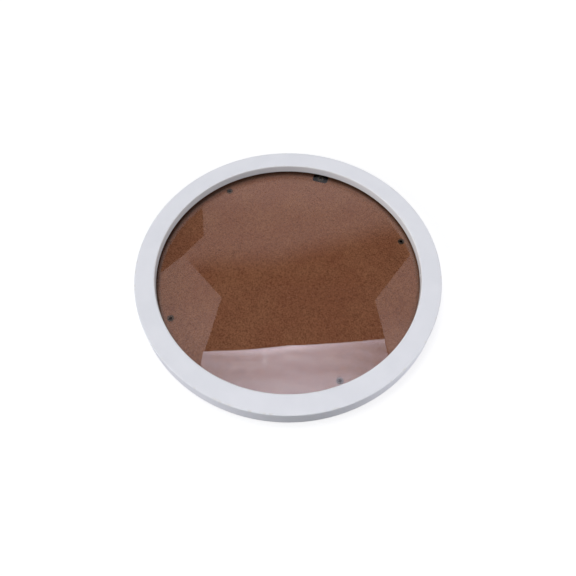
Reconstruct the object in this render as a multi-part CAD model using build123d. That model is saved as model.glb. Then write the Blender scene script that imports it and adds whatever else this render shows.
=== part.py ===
from build123d import *

import os
from math import asin, degrees

# A round photo frame that lies on its back, face up, in millimetres. +Z points out of the picture
# side, +Y is up when the frame hangs, and the origin is the centre of its back, on the table.

# Frame ring: one turned ring of painted fibreboard with a lip in front and a rebate behind, which is
# deep enough for picture, glass, board and a recess for the hanger. The lip is as deep as what is left.
outer_diameter = 230.0
moulding_width = 15.0
frame_depth = 15.0
recess_depth = 3.0
lip_overlap = 5.0
front_edge_radius = 0.8
back_edge_radius = 0.6
groove_height = 1.0
groove_depth = 4.0

# Glass pane and backing board, two discs that drop into the rebate. The rebate has room for a picture
# too. None is fitted, so the glass lies on the board, and the room is left open under the lip.
disc_clearance = 0.5
glass_thickness = 1.5
glass_bevel = 0.3
board_thickness = 2.0
board_bevel = 0.2
picture_room = 1.7

# Hollow rivets, each a tube with a flange in front and a rolled rim behind
rivet_radius = 1.7
rivet_wall = 0.4
rivet_flange_radius = 2.6
rivet_flange_thickness = 0.45
rivet_mouth_radius = 0.25
rivet_edge_radius = 0.15
rivet_hole_clearance = 0.1
pivot_clearance = 0.05
axial_play = 0.05

# Turn buttons: sprung steel tabs that turn on their rivets, their tips held in the ring's groove
button_inset = 10.1
button_thickness = 0.6
button_head_radius = 4.2
button_tip_radius = 2.6
button_tip_clearance = 0.7
button_tail = 6.0
lug_width = 5.0
lug_height = 2.0
lug_bend_radius = 0.8
jog_distance = 7.0
jog_length = 2.0
jog_bend_radius = 1.5

# Angle of each button from +X, as riveted by hand a little off the even quarters
upper_right_degrees = 34.4
upper_left_degrees = 137.5
lower_left_degrees = 220.65
lower_right_degrees = 308.6

# Hanger: a plate in the board's face, a strap curled round a wire ring, and the rivet through both
hanger_inset = 5.9
hanger_width = 12.5
hanger_height = 7.8
hanger_corner_radius = 2.4
plate_thickness = 0.6
plate_clearance = 0.4
strap_thickness = 0.5
curl_distance = 4.1
curl_degrees = 290.0
curl_clearance = 0.1
ring_wire_diameter = 1.6
ring_corner_radius = 1.6
ring_side_play = 0.4
ring_length = 15.0
table_clearance = 0.1

# Radii about the frame's axis
outer_radius = outer_diameter / 2
sight_radius = outer_radius - moulding_width
rebate_radius = sight_radius + lip_overlap
groove_radius = rebate_radius + groove_depth
disc_radius = rebate_radius - disc_clearance
button_circle_radius = disc_radius - button_inset

# Levels above the table, from back to front
board_back = recess_depth
groove_floor = board_back - groove_height
glass_back = board_back + board_thickness
lip_seat = glass_back + glass_thickness + picture_room

# Places of the hanger's parts, on the +Y side
hanger_y = disc_radius - hanger_inset
curl_y = hanger_y + curl_distance
wire_radius = ring_wire_diameter / 2
curl_inner_radius = wire_radius + curl_clearance
curl_z = board_back - strap_thickness - curl_inner_radius
plate_front = glass_back - rivet_flange_thickness

button_degrees = {
    "upper_right": upper_right_degrees,
    "upper_left": upper_left_degrees,
    "lower_left": lower_left_degrees,
    "lower_right": lower_right_degrees,
}


def turned(points):
    """A face in the XZ plane with these corners, each a radius and a level."""
    corners = [(radius, 0, level) for radius, level in points]
    return make_face(Polyline(*corners, close=True))


def frame_ring():
    section = turned(
        [
            (sight_radius, lip_seat),
            (sight_radius, frame_depth),
            (outer_radius, frame_depth),
            (outer_radius, 0),
            (rebate_radius, 0),
            (rebate_radius, groove_floor),
            (groove_radius, groove_floor),
            (groove_radius, board_back),
            (rebate_radius, board_back),
            (rebate_radius, lip_seat),
        ]
    )
    section = fillet(section.vertices().group_by(Axis.Z)[-1], front_edge_radius)
    back_corner = section.vertices().group_by(Axis.Z)[0].sort_by(Axis.X)[-1]
    section = fillet(back_corner, back_edge_radius)
    return revolve(section, Axis.Z)


def disc(back, thickness, bevel):
    """A flat disc that fits the rebate, its back face at this level and both its edges bevelled."""
    solid = Pos(0, 0, back) * extrude(Circle(disc_radius), thickness)
    return chamfer(solid.edges(), bevel)


def hole(radius, low, high):
    return Pos(0, 0, low) * extrude(Circle(radius), high - low)


def hollow_rivet(front, seat):
    """A rivet about Z: its flange's face is at front, and its rolled rim bears on seat from behind."""
    bore_radius = rivet_radius - rivet_wall
    section = turned(
        [
            (bore_radius, front),
            (rivet_flange_radius, front),
            (rivet_flange_radius, front - rivet_flange_thickness),
            (rivet_radius, front - rivet_flange_thickness),
            (rivet_radius, seat),
            (rivet_flange_radius, seat),
            (rivet_flange_radius, seat - rivet_flange_thickness),
            (bore_radius, seat - rivet_flange_thickness),
        ]
    )
    section = fillet(section.vertices().group_by(Axis.X)[0], rivet_mouth_radius)
    section = fillet(section.vertices().group_by(Axis.X)[-1], rivet_edge_radius)
    return revolve(section, Axis.Z)


def rivet_seat():
    """The hole through the board for a button's rivet, with a flush seat for its flange."""
    through = hole(rivet_radius + rivet_hole_clearance, board_back, glass_back)
    flange_seat = hole(rivet_flange_radius + rivet_hole_clearance, plate_front, glass_back)
    return through + flange_seat


def hanger_pocket():
    """The pocket in the board's face for the hanger's plate and rivet, and the rivet's hole."""
    pocket = RectangleRounded(
        hanger_width + 2 * plate_clearance,
        hanger_height + 2 * plate_clearance,
        hanger_corner_radius + plate_clearance,
    )
    pocket_floor = plate_front - plate_thickness
    through = hole(rivet_radius + rivet_hole_clearance, board_back, glass_back)
    return through + Pos(0, 0, pocket_floor) * extrude(pocket, glass_back - pocket_floor)


def at_button(degrees_round, shape):
    return Rot(0, 0, degrees_round) * Pos(button_circle_radius, 0, 0) * shape


def at_hanger(shape):
    return Pos(0, hanger_y, 0) * shape


def backing_board():
    board = disc(board_back, board_thickness, board_bevel)
    for degrees_round in button_degrees.values():
        board -= at_button(degrees_round, rivet_seat())
    return board - at_hanger(hanger_pocket())


def strip(path, side, width, thickness):
    """A flat strip along a path: side is the direction of its width."""
    start = Plane(path @ 0, x_dir=side, z_dir=path % 0)
    return sweep(start * Rectangle(width, thickness), path=path)


def turn_button():
    """A tab about its rivet, pointing along +X: lug, flat, a small spring jog and a rounded tip."""
    reach = groove_radius - button_tip_clearance - button_circle_radius
    flat = board_back - axial_play - button_thickness / 2
    jog = groove_height - button_thickness - 2 * axial_play
    jog_end = jog_distance + jog_length
    lug_x = button_thickness / 2 - button_tail
    profile = FilletPolyline(
        (lug_x, 0, flat - lug_height),
        (lug_x, 0, flat),
        (jog_distance, 0, flat),
        (jog_end, 0, flat - jog),
        (reach, 0, flat - jog),
        radius=[lug_bend_radius, jog_bend_radius, jog_bend_radius],
    )
    bent = strip(profile, (0, 1, 0), 2 * button_head_radius, button_thickness)
    tip = Pos(reach - button_tip_radius, 0) * Circle(button_tip_radius)
    arm = make_hull(Circle(button_head_radius).edges() + tip.edges())
    tail = Pos(-button_tail / 2, 0) * Rectangle(button_tail, lug_width)
    outline = extrude(arm + tail, board_back)
    pivot_hole = hole(rivet_radius + pivot_clearance, 0, board_back)
    return (bent & outline) - pivot_hole


def button_rivets():
    seat = board_back - 2 * axial_play - button_thickness
    rivet = hollow_rivet(glass_back, seat)
    return Compound([at_button(turn, rivet).solid() for turn in button_degrees.values()])


def hanger_plate():
    outline = RectangleRounded(hanger_width, hanger_height, hanger_corner_radius)
    plate = Pos(0, 0, plate_front - plate_thickness) * extrude(outline, plate_thickness)
    through = hole(rivet_radius + rivet_hole_clearance, 0, frame_depth)
    return at_hanger(plate - through)


def hanger_strap():
    """The strap on the board's back: flat under the rivet, then curled round the ring's bar."""
    inner_end = hanger_y - hanger_height / 2
    middle = board_back - strap_thickness / 2
    flat = Line((0, inner_end, middle), (0, curl_y, middle))
    curl_plane = Plane((0, curl_y, curl_z), x_dir=(0, 1, 0), z_dir=(1, 0, 0))
    curl_radius = curl_inner_radius + strap_thickness / 2
    curl = curl_plane * CenterArc((0, 0), curl_radius, 90, -curl_degrees)
    strap = strip(Wire([flat, curl]), (1, 0, 0), hanger_width, strap_thickness)
    corners = strap.edges().filter_by(Axis.Z).group_by(Axis.Y)[0]
    strap = fillet(corners, hanger_corner_radius)
    return strap - at_hanger(hole(rivet_radius + rivet_hole_clearance, 0, board_back))


def hanger_ring():
    """A D of wire on the curl's axis, its round end towards the centre and down on the table."""
    corner_x = hanger_width / 2 + ring_side_play
    half_width = corner_x + ring_corner_radius
    round_y = half_width - ring_length
    bar = Line((0, 0), (corner_x, 0))
    corner = CenterArc((corner_x, -ring_corner_radius), ring_corner_radius, 90, -90)
    arm = Line((half_width, -ring_corner_radius), (half_width, round_y))
    round_end = CenterArc((0, round_y), half_width, 0, -90)
    path = Wire([bar, corner, arm, round_end])
    half = sweep(Plane(path @ 0, z_dir=path % 0) * Circle(wire_radius), path=path)
    droop = degrees(asin((curl_z - wire_radius - table_clearance) / ring_length))
    return Pos(0, curl_y, curl_z) * Rot(droop, 0, 0) * (half + mirror(half, Plane.YZ))


def hanger_rivet():
    return at_hanger(hollow_rivet(glass_back, board_back - strap_thickness))


nodes = {
    "frame_ring": frame_ring(),
    "glass_pane": disc(glass_back, glass_thickness, glass_bevel),
    "backing_board": backing_board(),
    "button_rivets": button_rivets(),
    "hanger_plate": hanger_plate(),
    "hanger_strap": hanger_strap(),
    "hanger_ring": hanger_ring(),
    "hanger_rivet": hanger_rivet(),
}
for side, degrees_round in button_degrees.items():
    nodes["turn_button_" + side] = at_button(degrees_round, turn_button())

os.makedirs("parts", exist_ok=True)
for name, shape in nodes.items():
    export_step(shape, f"parts/{name}.step")
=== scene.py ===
from math import pi, radians

import bpy
import numpy as np
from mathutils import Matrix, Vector


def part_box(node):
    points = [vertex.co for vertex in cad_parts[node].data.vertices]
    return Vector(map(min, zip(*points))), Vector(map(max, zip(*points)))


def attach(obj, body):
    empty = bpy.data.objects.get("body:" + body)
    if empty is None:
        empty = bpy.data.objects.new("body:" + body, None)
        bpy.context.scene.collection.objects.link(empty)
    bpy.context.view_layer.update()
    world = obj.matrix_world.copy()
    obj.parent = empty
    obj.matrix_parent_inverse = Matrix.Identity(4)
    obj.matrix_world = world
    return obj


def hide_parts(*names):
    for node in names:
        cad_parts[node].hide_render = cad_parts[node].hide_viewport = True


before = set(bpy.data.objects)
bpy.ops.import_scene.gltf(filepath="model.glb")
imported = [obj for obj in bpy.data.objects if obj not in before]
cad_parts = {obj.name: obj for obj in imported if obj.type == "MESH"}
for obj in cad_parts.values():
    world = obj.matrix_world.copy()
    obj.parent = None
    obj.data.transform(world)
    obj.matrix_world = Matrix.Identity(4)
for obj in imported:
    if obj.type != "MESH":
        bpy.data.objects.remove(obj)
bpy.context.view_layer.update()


# Frame ring. One ring of fibreboard, turned on a face plate with a lip in front and a rebate and a groove
# behind, then primed, rubbed down and sprayed satin white. The spray hardly reaches into the rebate.
ring_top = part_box("frame_ring")[1]
outer_radius = ring_top.x
ring_depth = ring_top.z
moulding_width = 0.015
lip_overlap = 0.005
lip_depth = 0.0068
groove_depth = 0.004
groove_height = 0.001
sight_radius = outer_radius - moulding_width
rebate_radius = sight_radius + lip_overlap
groove_radius = rebate_radius + groove_depth
lip_seat = ring_depth - lip_depth
groove_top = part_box("backing_board")[0].z
groove_floor = groove_top - groove_height
front_edge = 0.0008
back_edge = 0.0006
sprayed_corner = 0.00025
spray_under_lip = 0.002
spray_up_rebate = 0.0016
wear_reach = 0.0006
corner_points = 7
profile_step = 0.0015
ring_segments = 480


def outline(corners, radii, step):
    """A closed outline with rounded corners, as points. A corner between the unit directions u and v to its
    neighbours is p + u r (1 - sin a) + v r (1 - cos a) for a from 0 to 90 degrees, and the runs between
    corners are straight, with a point at each step. Also gives how near each point is to a corner: 1 on it,
    and exp(-d / wear_reach) on a run, for a point at a distance d from it."""
    bend = np.linspace(0, pi / 2, corner_points)[:, None]
    arcs = []
    for p, before, after, r in zip(corners, np.roll(corners, 1, 0), np.roll(corners, -1, 0), radii):
        u, v = ((q - p) / np.linalg.norm(q - p) for q in (before, after))
        arcs.append(p + u * r * (1 - np.sin(bend)) + v * r * (1 - np.cos(bend)))
    points, nearness = [], []
    for arc, follows in zip(arcs, arcs[1:] + arcs[:1]):
        run = follows[0] - arc[-1]
        inside = max(3, int(np.linalg.norm(run) / step))
        share = (np.arange(1, inside) / inside)[:, None]
        gap = np.minimum(share, 1 - share)[:, 0] * np.linalg.norm(run)
        points += [arc, arc[-1] + share * run]
        nearness += [np.ones(len(arc)), np.exp(-gap / wear_reach)]
    return np.concatenate(points), np.concatenate(nearness)


def turned(name, profile, segments):
    """A surface of revolution about Z: the profile's point (r, z) goes to (r cos t, r sin t, z), for t once
    round. The profile runs counterclockwise, with z up, so that the faces point outwards. It is closed, or
    both its ends lie on the axis, and each end is then a single point."""
    turn = np.linspace(0, 2 * pi, segments, endpoint=False)
    r, z = profile[:, :1], profile[:, 1:]
    points = np.stack([r * np.cos(turn), r * np.sin(turn), z + 0 * turn], axis=-1).reshape(-1, 3)
    index = np.arange(len(points)).reshape(len(profile), segments)
    poles = profile[:, 0] == 0
    index[poles] = index[poles][:, :1]
    first, second = (index, np.roll(index, -1, 0)) if not poles.any() else (index[:-1], index[1:])
    cells = np.stack([first, np.roll(first, -1, 1), np.roll(second, -1, 1), second], axis=-1)
    flat = cells.reshape(-1, 4)
    from_pole, to_pole = flat[:, 0] == flat[:, 1], flat[:, 2] == flat[:, 3]
    faces = flat[~(from_pole | to_pole)].tolist() + flat[from_pole][:, 1:].tolist()
    faces += flat[to_pole][:, :3].tolist()
    used = np.unique(index)
    renumbered = np.zeros(len(points), int)
    renumbered[used] = np.arange(len(used))
    mesh = bpy.data.meshes.new(name)
    mesh.from_pydata(points[used].tolist(), [], [renumbered[face].tolist() for face in faces])
    mesh.shade_smooth()
    made = bpy.data.objects.new(name, mesh)
    bpy.context.scene.collection.objects.link(made)
    return made


def paint_on(obj, name, values):
    """Keeps one number for each of the mesh's points, for a material to read by this name."""
    obj.data.attributes.new(name, "FLOAT", "POINT").data.foreach_set("value", np.float32(values))


ring_corners = np.array([
    (rebate_radius, 0), (outer_radius, 0), (outer_radius, ring_depth), (sight_radius, ring_depth),
    (sight_radius, lip_seat), (rebate_radius, lip_seat), (rebate_radius, groove_top),
    (groove_radius, groove_top), (groove_radius, groove_floor), (rebate_radius, groove_floor),
])
ring_radii = [sprayed_corner, back_edge, front_edge, front_edge] + [sprayed_corner] * 6
ring_profile, ring_edge = outline(ring_corners, ring_radii, profile_step)
white_ring = turned("white_ring", ring_profile, ring_segments)
ring_r, ring_z = ring_profile.T
tolerance = 1e-6
under_lip = (ring_z < lip_seat + tolerance) & (ring_r < rebate_radius - sprayed_corner)
in_rebate = (ring_z < lip_seat) & (ring_r < groove_radius + sprayed_corner) & ~under_lip
ring_bare = np.clip((ring_r - sight_radius) / spray_under_lip, 0, 1) * under_lip
ring_bare += np.clip(ring_z / spray_up_rebate, 0, 1) * in_rebate
paint_on(white_ring, "edge", np.repeat(ring_edge, ring_segments))
paint_on(white_ring, "bare", np.repeat(ring_bare, ring_segments))


def set_inputs(tree, node, inputs):
    """Gives each named input of the node a value, or a link from another node's output."""
    for name, value in inputs.items():
        if isinstance(value, bpy.types.NodeSocket):
            tree.links.new(value, node.inputs[name])
        else:
            node.inputs[name].default_value = value


def add(tree, kind, inputs, **settings):
    """A shader node. Its settings are set before its inputs, because they can change which inputs it has."""
    made = tree.nodes.new("ShaderNode" + kind)
    for name, value in settings.items():
        setattr(made, name, value)
    set_inputs(tree, made, inputs)
    return made


def calc(tree, operation, *values):
    """The result of one sum on numbers, kept from 0 to 1 where the operation's name ends in a !."""
    settings = {"operation": operation.rstrip("!"), "use_clamp": operation.endswith("!")}
    return add(tree, "Math", dict(enumerate(values)), **settings).outputs[0]


def blend_colours(tree, share, first, second):
    """The first colour where share is 0 and the second where it is 1."""
    return add(tree, "Mix", {0: share, 6: first, 7: second}, data_type="RGBA").outputs[2]


def ramp(tree, value, low, high, start=0.0, end=1.0):
    """The value taken from the range low to high to the range start to end, with eased ends."""
    inputs = {"Value": value, "From Min": low, "From Max": high, "To Min": start, "To Max": end}
    return add(tree, "MapRange", inputs, interpolation_type="SMOOTHSTEP").outputs["Result"]


def new_group(name, inputs, outputs):
    """A node group with float sockets, after a Vector for the place. Gives its tree and its two ends."""
    tree = bpy.data.node_groups.new(name, "ShaderNodeTree")
    tree.interface.new_socket("Place", in_out="INPUT", socket_type="NodeSocketVector")
    for socket, value in inputs.items():
        made = tree.interface.new_socket(socket, in_out="INPUT", socket_type="NodeSocketFloat")
        made.default_value = value
    for socket in outputs:
        tree.interface.new_socket(socket, in_out="OUTPUT", socket_type="NodeSocketFloat")
    return tree, tree.nodes.new("NodeGroupInput").outputs, tree.nodes.new("NodeGroupOutput").inputs


def new_material(name):
    """A material with its node tree, its shader and the place on the object, in metres."""
    made = bpy.data.materials.new(name)
    made.use_nodes = True
    tree = made.node_tree
    return made, tree, tree.nodes["Principled BSDF"], add(tree, "TexCoord", {}).outputs["Object"]


def bumped(tree, shader, height, depth):
    """Height from 0 to 1 becomes relief of this depth, in metres, in the shader's normal."""
    relief = add(tree, "Bump", {"Height": height, "Distance": depth, "Strength": 1.0})
    tree.links.new(relief.outputs["Normal"], shader.inputs["Normal"])


# Soft clouds of a given size, from 0 to 1: uneven colour, sheen and thickness
clouds, given, out = new_group("clouds", {"Size": 0.01, "Detail": 2.0}, ["Value"])
noise = add(clouds, "TexNoise", {
    "Vector": given["Place"], "Scale": calc(clouds, "DIVIDE", 1.0, given["Size"]),
    "Detail": given["Detail"], "Roughness": 0.55,
})
clouds.links.new(ramp(clouds, noise.outputs["Fac"], 0.3, 0.7), out["Value"])

# Scattered specks: one in each cell of a given spacing, kept for a share of the cells, of a given radius
specks, given, out = new_group("specks", {"Spacing": 0.01, "Radius": 0.0003, "Share": 0.3}, ["Mask"])
cell = add(specks, "TexVoronoi", {
    "Vector": given["Place"], "Scale": calc(specks, "DIVIDE", 1.0, given["Spacing"]), "Randomness": 1.0,
})
lot = add(specks, "SeparateColor", {"Color": cell.outputs["Color"]}).outputs
reach = calc(specks, "MULTIPLY", cell.outputs["Distance"], given["Spacing"])
size = calc(specks, "MULTIPLY", given["Radius"], calc(specks, "MULTIPLY_ADD", lot["Green"], 0.7, 0.3))
near = calc(specks, "SUBTRACT!", 1.0, calc(specks, "DIVIDE", reach, size))
kept = calc(specks, "LESS_THAN", lot["Red"], given["Share"])
specks.links.new(calc(specks, "MULTIPLY", calc(specks, "POWER", near, 0.5), kept), out["Mask"])


def from_axis(tree, place):
    """How far the place is from the Z axis."""
    flat = add(tree, "VectorMath", {0: place, 1: (1, 1, 0)}, operation="MULTIPLY").outputs["Vector"]
    return add(tree, "VectorMath", {0: flat}, operation="LENGTH").outputs["Value"]


def placed(tree, group, place, **inputs):
    """A node group's node in a material, at this place, with its own values. Gives its outputs."""
    return add(tree, "Group", {"Place": place, **inputs}, node_tree=group).outputs


paint_light = (0.827, 0.837, 0.861, 1)
paint_shade = (0.797, 0.809, 0.835, 1)
paint_thin = (0.70, 0.66, 0.60, 1)
# Painted bounce light: the white paint tinted warm, as if lit by the brown board below
board_bounce_paint = (0.834, 0.824, 0.822, 1)
lint_grey = (0.30, 0.28, 0.27, 1)
fibreboard = (0.42, 0.28, 0.16, 1)
fibreboard_dark = (0.30, 0.19, 0.105, 1)
satin = 0.47
orange_peel = 0.000012
paint, tree, shader, place = new_material("satin_white_paint")

# The coat: faintly clouded, thin on rubbed edges, with painted warm bounce light from the brown board on the
# sight edge's wall, and with lint caught in it
coat = placed(tree, clouds, place, Size=0.022, Detail=3.0)["Value"]
colour = blend_colours(tree, coat, paint_shade, paint_light)
patchy = placed(tree, clouds, place, Size=0.005, Detail=4.0)["Value"]
edge = add(tree, "Attribute", {}, attribute_name="edge").outputs["Fac"]
rubbed = calc(tree, "MULTIPLY", ramp(tree, edge, 0.6, 1.0), ramp(tree, patchy, 0.6, 0.98, 0.0, 0.4))
colour = blend_colours(tree, rubbed, colour, paint_thin)
radius = from_axis(tree, place)
inside = ramp(tree, radius, sight_radius + front_edge, sight_radius + 0.0001)
# Painted bounce light: the sight edge's wall is tinted warm, as if lit by the brown board
colour = blend_colours(tree, inside, colour, board_bounce_paint)
lint = placed(tree, specks, place, Spacing=0.009, Radius=0.00022, Share=0.22)["Mask"]
colour = blend_colours(tree, calc(tree, "MULTIPLY", lint, 0.35), colour, lint_grey)

# Bare fibreboard where the spray doesn't reach, with a ragged border
bare = add(tree, "Attribute", {}, attribute_name="bare").outputs["Fac"]
grit = placed(tree, clouds, place, Size=0.0007, Detail=2.0)["Value"]
raw = blend_colours(tree, grit, fibreboard_dark, fibreboard)
overspray = calc(tree, "MULTIPLY!", calc(tree, "ADD", bare, calc(tree, "MULTIPLY", grit, 0.35)), bare)
colour = blend_colours(tree, overspray, colour, raw)

# Relief: spray stipple, slow flow, fine rings from turning, dust nibs, and raw fibres where it is bare
stipple = add(tree, "TexNoise", {"Vector": place, "Scale": 900.0, "Detail": 1.5}).outputs["Fac"]
flow = add(tree, "TexNoise", {"Vector": place, "Scale": 260.0, "Detail": 1.0}).outputs["Fac"]
along = add(tree, "SeparateXYZ", {"Vector": place}).outputs
tool_place = add(tree, "CombineXYZ", {"X": radius, "Y": along["Z"], "Z": 0.0}).outputs["Vector"]
tool_lines = add(tree, "TexNoise", {"Vector": tool_place, "Scale": 1300.0, "Detail": 1.0}).outputs["Fac"]
nibs = placed(tree, specks, place, Spacing=0.014, Radius=0.00035, Share=0.4)["Mask"]
height = calc(tree, "ADD", calc(tree, "MULTIPLY", stipple, 0.35), calc(tree, "MULTIPLY", flow, 0.9))
height = calc(tree, "ADD", height, calc(tree, "MULTIPLY", tool_lines, 0.16))
height = calc(tree, "ADD", height, calc(tree, "MULTIPLY", nibs, 2.0))
height = calc(tree, "ADD", height, calc(tree, "MULTIPLY", calc(tree, "MULTIPLY", grit, bare), 4.0))
bumped(tree, shader, height, orange_peel)

# Sheen: satin, glossier where the coat is full and on the sight edge's wall, and dull where it is bare
sheen = calc(tree, "ADD", calc(tree, "MULTIPLY", coat, -0.08), calc(tree, "MULTIPLY", patchy, 0.05))
roughness = calc(tree, "ADD", calc(tree, "ADD", sheen, satin), calc(tree, "MULTIPLY", bare, 0.4))
roughness = calc(tree, "MULTIPLY_ADD", inside, -0.24, roughness)
set_inputs(tree, shader, {"Base Color": colour, "Roughness": roughness, "IOR": 1.48})
white_ring.data.materials.append(paint)
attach(white_ring, "frame")
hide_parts("frame_ring")


# Glass pane. A disc of clear float glass, cut round and seamed at both edges. It was dropped into the
# rebate from behind and lies on the board, a hair off its fibres, with the picture's room left open above.
glass_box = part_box("glass_pane")
glass_radius = glass_box[1].x
glass_front = glass_box[1].z
fibre_gap = 0.00006
glass_back = glass_box[0].z + fibre_gap
glass_seam = 0.0003
glass_middle = 0.09
glass_segments = 240
glass_corners = np.array([
    (0, glass_back), (glass_middle, glass_back), (glass_radius - glass_seam, glass_back),
    (glass_radius, glass_back + glass_seam), (glass_radius, glass_front - glass_seam),
    (glass_radius - glass_seam, glass_front), (glass_middle, glass_front), (0, glass_front),
])
pane = turned("glass", glass_corners, glass_segments)
pane.data.shade_flat()
glass, tree, shader, place = new_material("clear_float_glass")
wiped = placed(tree, clouds, place, Size=0.03, Detail=4.0)["Value"]
smear = ramp(tree, wiped, 0.55, 1.0, 0.0, 0.018)
radius = from_axis(tree, place)
ground = ramp(tree, radius, glass_radius - 1.5 * glass_seam, glass_radius - glass_seam, 0.0, 0.5)
tint = blend_colours(tree, wiped, (0.982, 0.992, 0.988, 1), (0.988, 0.995, 0.992, 1))
set_inputs(tree, shader, {
    "Base Color": tint, "Roughness": calc(tree, "ADD", smear, ground), "IOR": 1.5,
    "Transmission Weight": 1.0,
})
lamp_ray = add(tree, "LightPath", {}).outputs["Is Shadow Ray"]
see_through = add(tree, "BsdfTransparent", {"Color": (0.95, 0.96, 0.955, 1)})
either = add(tree, "MixShader", {0: lamp_ray, 1: shader.outputs[0], 2: see_through.outputs[0]})
tree.links.new(either.outputs[0], tree.nodes["Material Output"].inputs["Surface"])
pane.data.materials.append(glass)
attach(pane, "frame")
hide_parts("glass_pane")


# Backing board. Brown hardboard, sawn round: wood fibres pressed flat and smooth in front, with the print
# of the press screen behind. It lies behind the glass and carries the rivets.
board_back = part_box("backing_board")[0].z
bark = (0.100, 0.0305, 0.013, 1)
brown = (0.295, 0.114, 0.057, 1)
straw = (0.480, 0.203, 0.106, 1)
russet = (0.34, 0.108, 0.056, 1)
# Painted shade under the lip: the colour the board darkens to at its edge
rim_shade_brown = (0.12, 0.072, 0.048, 1)
screen_brown = (0.42, 0.22, 0.125, 1)
rim_shade_start = sight_radius - 0.0035
rim_shade_end = sight_radius + 0.001
screen_pitch = 0.0016
fibre_relief = 0.00005

# Pressed fibres: noise drawn out along one direction in the board's plane, as strands from 0 to 1
fibres, given, out = new_group("fibres", {"Turn": 0.0, "Length": 0.003, "Width": 0.0003}, ["Value"])
turn = add(fibres, "CombineXYZ", {"X": 0.0, "Y": 0.0, "Z": given["Turn"]}).outputs["Vector"]
stretch = add(fibres, "CombineXYZ", {"X": given["Length"], "Y": given["Width"], "Z": given["Width"]})
laid = add(fibres, "Mapping", {
    "Vector": given["Place"], "Rotation": turn, "Scale": stretch.outputs["Vector"],
}, vector_type="TEXTURE")
strands = add(fibres, "TexNoise", {"Vector": laid.outputs["Vector"], "Scale": 1.0, "Detail": 2.0,
                                   "Distortion": 0.6})
fibres.links.new(ramp(fibres, strands.outputs["Fac"], 0.52, 0.78), out["Value"])

board, tree, shader, place = new_material("brown_hardboard")

# The smooth face: pulp of bark and straw with fibres, chips and stains in it, and painted shade towards the
# rim
light_fibres = calc(tree, "MAXIMUM", placed(tree, fibres, place, Turn=0.3, Length=0.0022)["Value"],
                    placed(tree, fibres, place, Turn=1.35, Length=0.0018)["Value"])
dark_fibres = calc(tree, "MAXIMUM", placed(tree, fibres, place, Turn=0.85, Length=0.0016)["Value"],
                   placed(tree, fibres, place, Turn=2.4, Length=0.002)["Value"])
grain = placed(tree, clouds, place, Size=0.0008, Detail=3.0)["Value"]
pulp = placed(tree, clouds, place, Size=0.0021, Detail=3.0)["Value"]
stains = placed(tree, clouds, place, Size=0.03, Detail=3.0)["Value"]
chips = placed(tree, specks, place, Spacing=0.0032, Radius=0.0008, Share=0.3)["Mask"]
pale_chips = placed(tree, specks, place, Spacing=0.0041, Radius=0.0007, Share=0.3)["Mask"]
tone = calc(tree, "MULTIPLY_ADD", grain, 0.54, calc(tree, "MULTIPLY_ADD", pulp, 0.19, 0.10))
tone = calc(tree, "MULTIPLY_ADD", light_fibres, 0.2, tone)
tone = calc(tree, "MULTIPLY_ADD", dark_fibres, -0.2, tone)
tone = calc(tree, "MULTIPLY_ADD", pale_chips, 0.35, calc(tree, "MULTIPLY_ADD", chips, -0.23, tone))
tone = calc(tree, "MULTIPLY_ADD!", stains, -0.12, calc(tree, "ADD", tone, 0.06))
colour = blend_colours(tree, tone, bark, straw)
colour = blend_colours(tree, calc(tree, "MULTIPLY", stains, 0.2), colour, russet)
# Painted shade: the board darkens towards its edge, where the lip shades it, which deepens the dark line
# there
rim = ramp(tree, from_axis(tree, place), rim_shade_start, rim_shade_end, 0.0, 0.55)
colour = blend_colours(tree, rim, colour, rim_shade_brown)

# The back: the print of the press screen
along = add(tree, "SeparateXYZ", {"Vector": place}).outputs
behind = ramp(tree, along["Z"], board_back + 0.0001, board_back + 0.0004, 1.0, 0.0)
warp = calc(tree, "SINE", calc(tree, "MULTIPLY", along["X"], 2 * pi / screen_pitch))
weft = calc(tree, "SINE", calc(tree, "MULTIPLY", along["Y"], 2 * pi / screen_pitch))
print_of_screen = calc(tree, "MULTIPLY_ADD", calc(tree, "MULTIPLY", warp, weft), 0.5, 0.5)
back_colour = blend_colours(tree, print_of_screen, screen_brown, brown)
colour = blend_colours(tree, calc(tree, "MULTIPLY", behind, 0.7), colour, back_colour)
relief = calc(tree, "ADD", calc(tree, "MULTIPLY", light_fibres, 0.25), calc(tree, "MULTIPLY", pulp, 0.2))
printed = calc(tree, "MULTIPLY", print_of_screen, behind)
relief = calc(tree, "ADD", relief, calc(tree, "MULTIPLY", printed, 4.0))
bumped(tree, shader, relief, fibre_relief)
roughness = calc(tree, "MULTIPLY_ADD", behind, 0.3, 0.55)
roughness = calc(tree, "ADD", calc(tree, "MULTIPLY", pulp, 0.12), roughness)
set_inputs(tree, shader, {"Base Color": colour, "Roughness": roughness, "Specular IOR Level": 0.15})
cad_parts["backing_board"].material_slots[0].material = board


# Turn buttons and rivets. Each button is a sprung steel tab with a bent lug, zinc plated in a barrel, that
# turns on a hollow rivet. The rivet is pressed through the board from the front and rolled over behind.

# Plated sheet: clouded plating, fine scratches from the barrel, bright metal where edges rub through, and
# painted shade in bores and bends, where the sheet shuts itself in
plating, given, out = new_group("plating", {"Edge": 0.00015}, ["Tone", "Wear", "Painted_shade", "Height"])
cloudy = placed(plating, clouds, given["Place"], Size=0.0022, Detail=3.0)["Value"]
scratches = calc(plating, "MAXIMUM",
                 placed(plating, fibres, given["Place"], Turn=0.6, Length=0.004, Width=0.00006)["Value"],
                 placed(plating, fibres, given["Place"], Turn=2.2, Length=0.003, Width=0.00005)["Value"])
rounded = add(plating, "Bevel", {"Radius": given["Edge"]}, samples=4).outputs["Normal"]
true_side = add(plating, "NewGeometry", {}).outputs["Normal"]
agree = add(plating, "VectorMath", {0: rounded, 1: true_side}, operation="DOT_PRODUCT").outputs["Value"]
worn = ramp(plating, agree, 0.97, 0.8)
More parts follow.
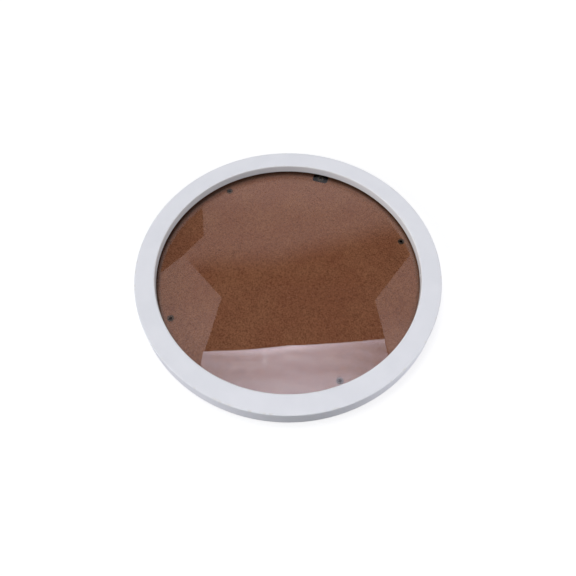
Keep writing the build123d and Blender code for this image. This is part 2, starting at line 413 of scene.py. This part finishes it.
# Painted shade: the sheet's own ambient occlusion darkens its bores and bends
open_sky = add(plating, "AmbientOcclusion", {"Distance": 0.003}, samples=8, only_local=True).outputs["AO"]
plating.links.new(ramp(plating, open_sky, 0.8, 0.3), out["Painted_shade"])
plating.links.new(calc(plating, "MULTIPLY_ADD", scratches, 0.3, calc(plating, "MULTIPLY", cloudy, 0.7)),
                  out["Tone"])
plating.links.new(calc(plating, "MULTIPLY", worn, calc(plating, "MULTIPLY_ADD", cloudy, 0.5, 0.5)),
                  out["Wear"])
plating.links.new(calc(plating, "MULTIPLY_ADD", scratches, -0.5, calc(plating, "MULTIPLY", cloudy, 0.5)),
                  out["Height"])
hollow_shade_black = (0.010, 0.006, 0.004, 1)
scratch_depth = 0.000006


def plated_steel(name, dull, bright, rub, roughest, smoothest, metal=1.0, shine=0.5, hollow_shade=0.9):
    """Plated steel whose tone runs from dull to bright, rubbed at its edges to a third colour, with painted
    shade, darker where it is hollow."""
    made, tree, shader, place = new_material(name)
    sheet = placed(tree, plating, place)
    colour = blend_colours(tree, sheet["Tone"], dull, bright)
    colour = blend_colours(tree, sheet["Wear"], colour, rub)
    # Painted shade in the hollows, blended towards near black
    colour = blend_colours(tree, calc(tree, "MULTIPLY!", sheet["Painted_shade"], hollow_shade), colour, hollow_shade_black)
    rough = ramp(tree, sheet["Tone"], 0.0, 1.0, roughest, smoothest)
    bumped(tree, shader, sheet["Height"], scratch_depth)
    set_inputs(tree, shader, {"Base Color": colour, "Roughness": rough, "Metallic": metal,
                              "Specular IOR Level": shine})
    return made


zinc = plated_steel("zinc_plate", (0.44, 0.45, 0.46, 1), (0.68, 0.69, 0.71, 1),
                    (0.78, 0.78, 0.78, 1), 0.5, 0.3)
dull_plate = plated_steel("dull_plate", (0.066, 0.046, 0.033, 1), (0.140, 0.098, 0.070, 1),
                          (0.18, 0.14, 0.11, 1), 0.7, 0.55, metal=0.1, shine=0.06, hollow_shade=1.8)
for side in ("upper_right", "upper_left", "lower_left", "lower_right"):
    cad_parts["turn_button_" + side].material_slots[0].material = zinc
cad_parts["button_rivets"].material_slots[0].material = dull_plate


# Hanger. A dark steel plate in a pocket of the board's face, a strap on the back, curled round the bar of a
# wire ring, and one hollow rivet through plate, board and strap.
dark_plate = plated_steel("dark_plate", (0.012, 0.011, 0.013, 1), (0.060, 0.058, 0.064, 1),
                          (0.13, 0.13, 0.135, 1), 0.55, 0.38)
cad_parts["hanger_plate"].material_slots[0].material = dark_plate
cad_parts["hanger_strap"].material_slots[0].material = dark_plate
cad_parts["hanger_ring"].material_slots[0].material = zinc
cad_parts["hanger_rivet"].material_slots[0].material = dull_plate


# Camera. It stands over the near side of the frame and looks down at it by 60 degrees, with the hanger
# turned to the right, as in the photograph.
camera_turn = radians(16.3)
camera_back = 0.22757
camera_height = ring_depth + 0.35901
aim_back = 0.01875
camera_lens = 35.254


def turned_place(x, y, z):
    """A place given across, away from and above the camera's side of the table, in the frame's axes."""
    c, s = np.cos(camera_turn), np.sin(camera_turn)
    return Vector((c * x - s * y, s * x + c * y, z))


camera = bpy.data.objects.new("camera", bpy.data.cameras.new("camera"))
camera.data.lens = camera_lens
camera.data.clip_start = 0.01
camera.location = turned_place(0, -camera_back, camera_height)
toward = turned_place(0, -aim_back, ring_depth) - camera.location
camera.rotation_euler = toward.to_track_quat("-Z", "Y").to_euler()
bpy.context.scene.collection.objects.link(camera)
bpy.context.scene.camera = camera


# Table. White and plain. What the camera sees of it is lifted to white, and it keeps the frame's shadow. It
# throws light up at the frame's sides, most to the right, less to the left and little in front.
table_half = 6.0
table_level = -0.0002
ring_shade_start = outer_radius - 0.006
ring_shade_end = outer_radius - 0.002
table_corners = [(-table_half, -table_half, table_level), (table_half, -table_half, table_level),
                 (table_half, table_half, table_level), (-table_half, table_half, table_level)]
table_mesh = bpy.data.meshes.new("table")
table_mesh.from_pydata(table_corners, [], [(0, 1, 2, 3)])
table = bpy.data.objects.new("table", table_mesh)
bpy.context.scene.collection.objects.link(table)


def rays_in(tree):
    """The kinds of ray, and a number that is 1 while a ray has only been mirrored or gone through glass
    since it left the camera, and 0 once it has met a dull surface."""
    rays = add(tree, "LightPath", {}).outputs
    return rays, calc(tree, "LESS_THAN", rays["Diffuse Depth"], 0.5)


table_white, tree, shader, place = new_material("table_white")
tree.nodes.remove(shader)
rays, direct = rays_in(tree)
seen = calc(tree, "MAXIMUM", rays["Is Camera Ray"], rays["Is Transmission Ray"])
seen = calc(tree, "MULTIPLY", seen, direct)
reach = add(tree, "VectorMath", {0: place}, operation="LENGTH").outputs["Value"]
rightward = add(tree, "VectorMath", {0: place, 1: turned_place(1, 0, 0)}, operation="DOT_PRODUCT")
across = calc(tree, "DIVIDE", rightward.outputs["Value"], reach)
right_side = ramp(tree, across, 0.1, 1.0, 0.05, 0.82)
left_side = ramp(tree, across, 0.05, -0.6, 0.02, 0.38)
open_table = ramp(tree, reach, ring_shade_start, ring_shade_end)
sides = calc(tree, "MULTIPLY", calc(tree, "ADD", right_side, left_side), open_table)
lifted = calc(tree, "MULTIPLY", calc(tree, "MULTIPLY", seen, 0.70), open_table)
thrown = calc(tree, "MULTIPLY", calc(tree, "SUBTRACT", 1.0, seen), sides)
grey = blend_colours(tree, seen, (0.04, 0.04, 0.042, 1), (0.40, 0.40, 0.40, 1))
top = add(tree, "BsdfDiffuse", {"Color": grey})
lift = add(tree, "Emission", {
    "Color": blend_colours(tree, seen, (0.98, 0.955, 1.07, 1), (1, 1, 1, 1)),
    "Strength": calc(tree, "ADD", lifted, thrown),
})
both = add(tree, "AddShader", {0: top.outputs[0], 1: lift.outputs[0]})
tree.links.new(both.outputs[0], tree.nodes["Material Output"].inputs["Surface"])
table_white.cycles.emission_sampling = "NONE"
table.data.materials.append(table_white)


# Light. Soft lamps far off: one overhead, one at each side, low, and a weak one from the camera's side,
# with an even glow all round.
def soft_lamp(name, across, away, above, level, spread):
    """A far lamp in this direction, as wide as this many degrees of the sky. At level 1 a white surface
    that faces it looks white."""
    lamp = bpy.data.objects.new(name, bpy.data.lights.new(name, "SUN"))
    lamp.data.energy = pi * level
    lamp.data.angle = radians(spread)
    lamp.rotation_euler = turned_place(across, away, above).to_track_quat("Z", "Y").to_euler()
    lamp.visible_glossy = lamp.visible_transmission = False
    bpy.context.scene.collection.objects.link(lamp)


soft_lamp("overhead", -0.2, 0.27, 1, 0.413, 30)
soft_lamp("left", -0.9, -0.42, 0.27, 0.60, 55)
soft_lamp("right", 0.985, -0.17, 0.27, 0.37, 55)
soft_lamp("front", 0, -1, 0.27, 0.05, 55)

# The studio round it: white for the camera, and a dim, cool glow for dull surfaces. Mirrored rays see white
# walls up to a height, and hardly anything of the ceiling.
wall_top = radians(34)
ceiling_start = radians(43)
world = bpy.data.worlds.new("studio")
world.use_nodes = True
bpy.context.scene.world = world
tree = world.node_tree
rays, direct = rays_in(tree)
up = add(tree, "SeparateXYZ", {"Vector": add(tree, "TexCoord", {}).outputs["Generated"]}).outputs["Z"]
wall = ramp(tree, up, np.sin(wall_top), np.sin(ceiling_start), 1.0, 0.02)
shiny = calc(tree, "MAXIMUM", rays["Is Glossy Ray"], rays["Is Transmission Ray"])
seen = calc(tree, "MAXIMUM", rays["Is Camera Ray"], calc(tree, "MULTIPLY", shiny, wall))
reflects = calc(tree, "MAXIMUM", rays["Is Camera Ray"], shiny)
plain = calc(tree, "SUBTRACT", 1.0, calc(tree, "MULTIPLY", reflects, direct))
strength = calc(tree, "ADD", calc(tree, "MULTIPLY", seen, direct), calc(tree, "MULTIPLY", plain, 0.20))
hue = blend_colours(tree, plain, (1, 1, 1, 1), (0.93, 0.95, 1.14, 1))
set_inputs(tree, tree.nodes["Background"], {"Color": hue, "Strength": strength})


# Panels. What the glass mirrors: the overhead light's far end, and paler cloth at both sides and behind.
# They hang level over the table, where only reflections show them.
panel_glow, tree, shader, _ = new_material("panel_glow")
tree.nodes.remove(shader)
_, direct = rays_in(tree)
glow = add(tree, "Attribute", {}, attribute_name="glow").outputs["Fac"]
hue = blend_colours(tree, ramp(tree, glow, 0.9, 2.0), (1.02, 0.81, 0.80, 1), (1, 0.93, 1.07, 1))
light = add(tree, "Emission", {"Color": hue, "Strength": calc(tree, "MULTIPLY", glow, direct)})
tree.links.new(light.outputs[0], tree.nodes["Material Output"].inputs["Surface"])
panel_glow.cycles.emission_sampling = "NONE"
measured_level = 0.0072
panel_rows = 120
panel_columns = 60
rivets_under_glow = ((-48.7, 79.4, 0.8), (-85.6, -39.8, 0.8), (35.7, -88.0, 0.6))
screen_radius = 1.9


def open_share(x, y):
    """How much of its glow a panel keeps at a place: the product, over the rivets, of
    1 - depth exp(-(d / screen_radius)^2), where d is the distance from the rivet. So the panels are screened
    off softly where they would be mirrored over a rivet, and it shows as dark as in the photograph."""
    kept = 1.0
    for across, away, depth in rivets_under_glow:
        kept = kept * (1 - depth * np.exp(-((x - across) ** 2 + (y - away) ** 2) / screen_radius ** 2))
    return kept


def panel(name, height, one_edge, other_edge, glow):
    """A level panel, given by what the camera sees of it in the glass: two opposite edges are places
    at the measured level, in millimetres, across and away from the camera. A grid of places is blended from
    one edge to the other, closer set at the first, and each goes out along the line from the camera's mirror
    image in the glass, up to the panel's height. The glow is worked out at each."""
    rows, columns = panel_rows, panel_columns * (max(len(one_edge), len(other_edge)) - 1) + 1
    t = np.linspace(0, 1, columns)
    edges = []
    for edge in (one_edge, other_edge):
        edge = np.array(edge, float)
        s = np.linspace(0, 1, len(edge))
        edges.append(np.stack([np.interp(t, s, edge[:, 0]), np.interp(t, s, edge[:, 1])], axis=-1))
    share = np.linspace(0, 1, rows)[:, None, None] ** 2
    on_glass = (edges[0] * (1 - share) + edges[1] * share) / 1000
    away = (height + camera_height - 2 * glass_front) / (camera_height - measured_level)
    x = on_glass[..., 0] * away
    y = (on_glass[..., 1] + camera_back) * away - camera_back
    c, s = np.cos(camera_turn), np.sin(camera_turn)
    points = np.stack([c * x - s * y, s * x + c * y, height + 0 * x], axis=-1).reshape(-1, 3)
    index = np.arange(rows * columns).reshape(rows, columns)
    faces = np.stack([index[:-1, :-1], index[:-1, 1:], index[1:, 1:], index[1:, :-1]], -1).reshape(-1, 4)
    mesh = bpy.data.meshes.new(name)
    mesh.from_pydata(points.tolist(), [], faces.tolist())
    made = bpy.data.objects.new(name, mesh)
    bpy.context.scene.collection.objects.link(made)
    x, y = on_glass[..., 0] * 1000, on_glass[..., 1] * 1000
    paint_on(made, "glow", (glow(x, y) * open_share(x, y)).ravel())
    made.data.materials.append(panel_glow)
    made.visible_camera = made.visible_diffuse = made.visible_shadow = False


def eased(value, low, high):
    """From 0 at low to 1 at high, with eased ends: 3 t^2 - 2 t^3."""
    t = np.clip((value - low) / (high - low), 0, 1)
    return t * t * (3 - 2 * t)


def overhead_glow(x, y):
    """The end of the overhead light's cloth. It glows evenly but for a bright hem, brightest in the middle,
    a fold behind the hem, one narrow streak, a fall towards both sides, and creases, which are sums and
    products of sine waves. Into is how far a place lies in from the hem, in millimetres."""
    hem = np.interp(x, [-60, -24, 0, 40, 69], [-65.9, -64.3, -61.4, -59.1, -56.2])
    into = hem - y
    middle = np.exp(-((x + 5) / 24) ** 2)
    hot_edge = 2.2 * middle * np.exp(-((into - 2.0) / 2.6) ** 2)
    hot_edge = hot_edge + 0.8 * (1 - middle) * np.exp(-((into - 1.2) / 2.0) ** 2)
    fold = 0.4 * np.exp(-((into - 10.5) / 2.5) ** 2 - ((x - 5) / 30) ** 2)
    fold = fold - 0.12 * np.exp(-((into - 19) / 5) ** 2)
    streak = 1.5 * np.exp(-((x + 16.5) / 0.9) ** 2) * np.exp(-((y + 72) / 5.5) ** 2)
    fall = np.where(x > 3, 1.4, 0.95) * (np.abs(x - 3) / 62) ** 1.6
    creases = 0.18 * np.sin(0.6 * y + 0.08 * x + np.sin(0.11 * x))
    creases = creases + 0.13 * np.sin(0.45 * x + 1.7 * np.sin(0.2 * y)) * np.sin(0.3 * y + 0.5)
    creases = creases + 0.3 * np.sin(2.1 * y + 0.9 * np.sin(0.8 * x)) * np.sin(1.7 * x + 0.7 * y)
    return 3.25 - fall + creases + hot_edge + fold + streak + 0.75 * eased(into, 20, 32)


def left_glow(x, y):
    """The cloth at the left, a little brighter towards the camera."""
    return 0.70 + 0.2 * eased(-y, 15, 50)


def right_glow(x, y):
    """The cloth at the right, brighter towards the camera."""
    return 0.66 + 0.33 * eased(-y, 25, 60)


def far_glow(x, y):
    """The paler cloth behind: it fades out towards the camera, sooner at the right than at the left, and is a
    little brighter far off."""
    rise = np.interp(x, [-80, -60, -10, 75, 110], [6, 12, 14, 42, 50])
    return (0.60 + 0.25 * eased(y, 50, 80)) * eased(y, rise - 16, rise + 14)


panel("overhead_panel", 0.95,
      [(-59.8, -65.9), (-40, -65.2), (-24, -64.3), (-9, -62.4), (0, -61.4), (12, -61.0), (40, -59.1),
       (69, -56.2)],
      [(-75, -200), (85, -200)], overhead_glow)
panel("left_panel", 1.0, [(-81.5, 15.4), (-49.4, -22.5), (-61.2, -75.6), (-68, -110)],
      [(-170, -73), (-170, -85), (-170, -98), (-170, -110)], left_glow)
panel("right_panel", 1.0, [(76, -110), (71.3, -69), (64.7, -24.4), (130, 61.8)],
      [(190, -110), (190, -60), (190, 0), (190, 61.8)], right_glow)
panel("far_panel", 1.05, [(-76, 115), (-67, 34.1), (-81.5, 15.4), (-84, -12)],
      [(130, 115), (130, 34.1), (130, 15.4), (130, -12)], far_glow)


bpy.context.scene.view_settings.view_transform = "Standard"
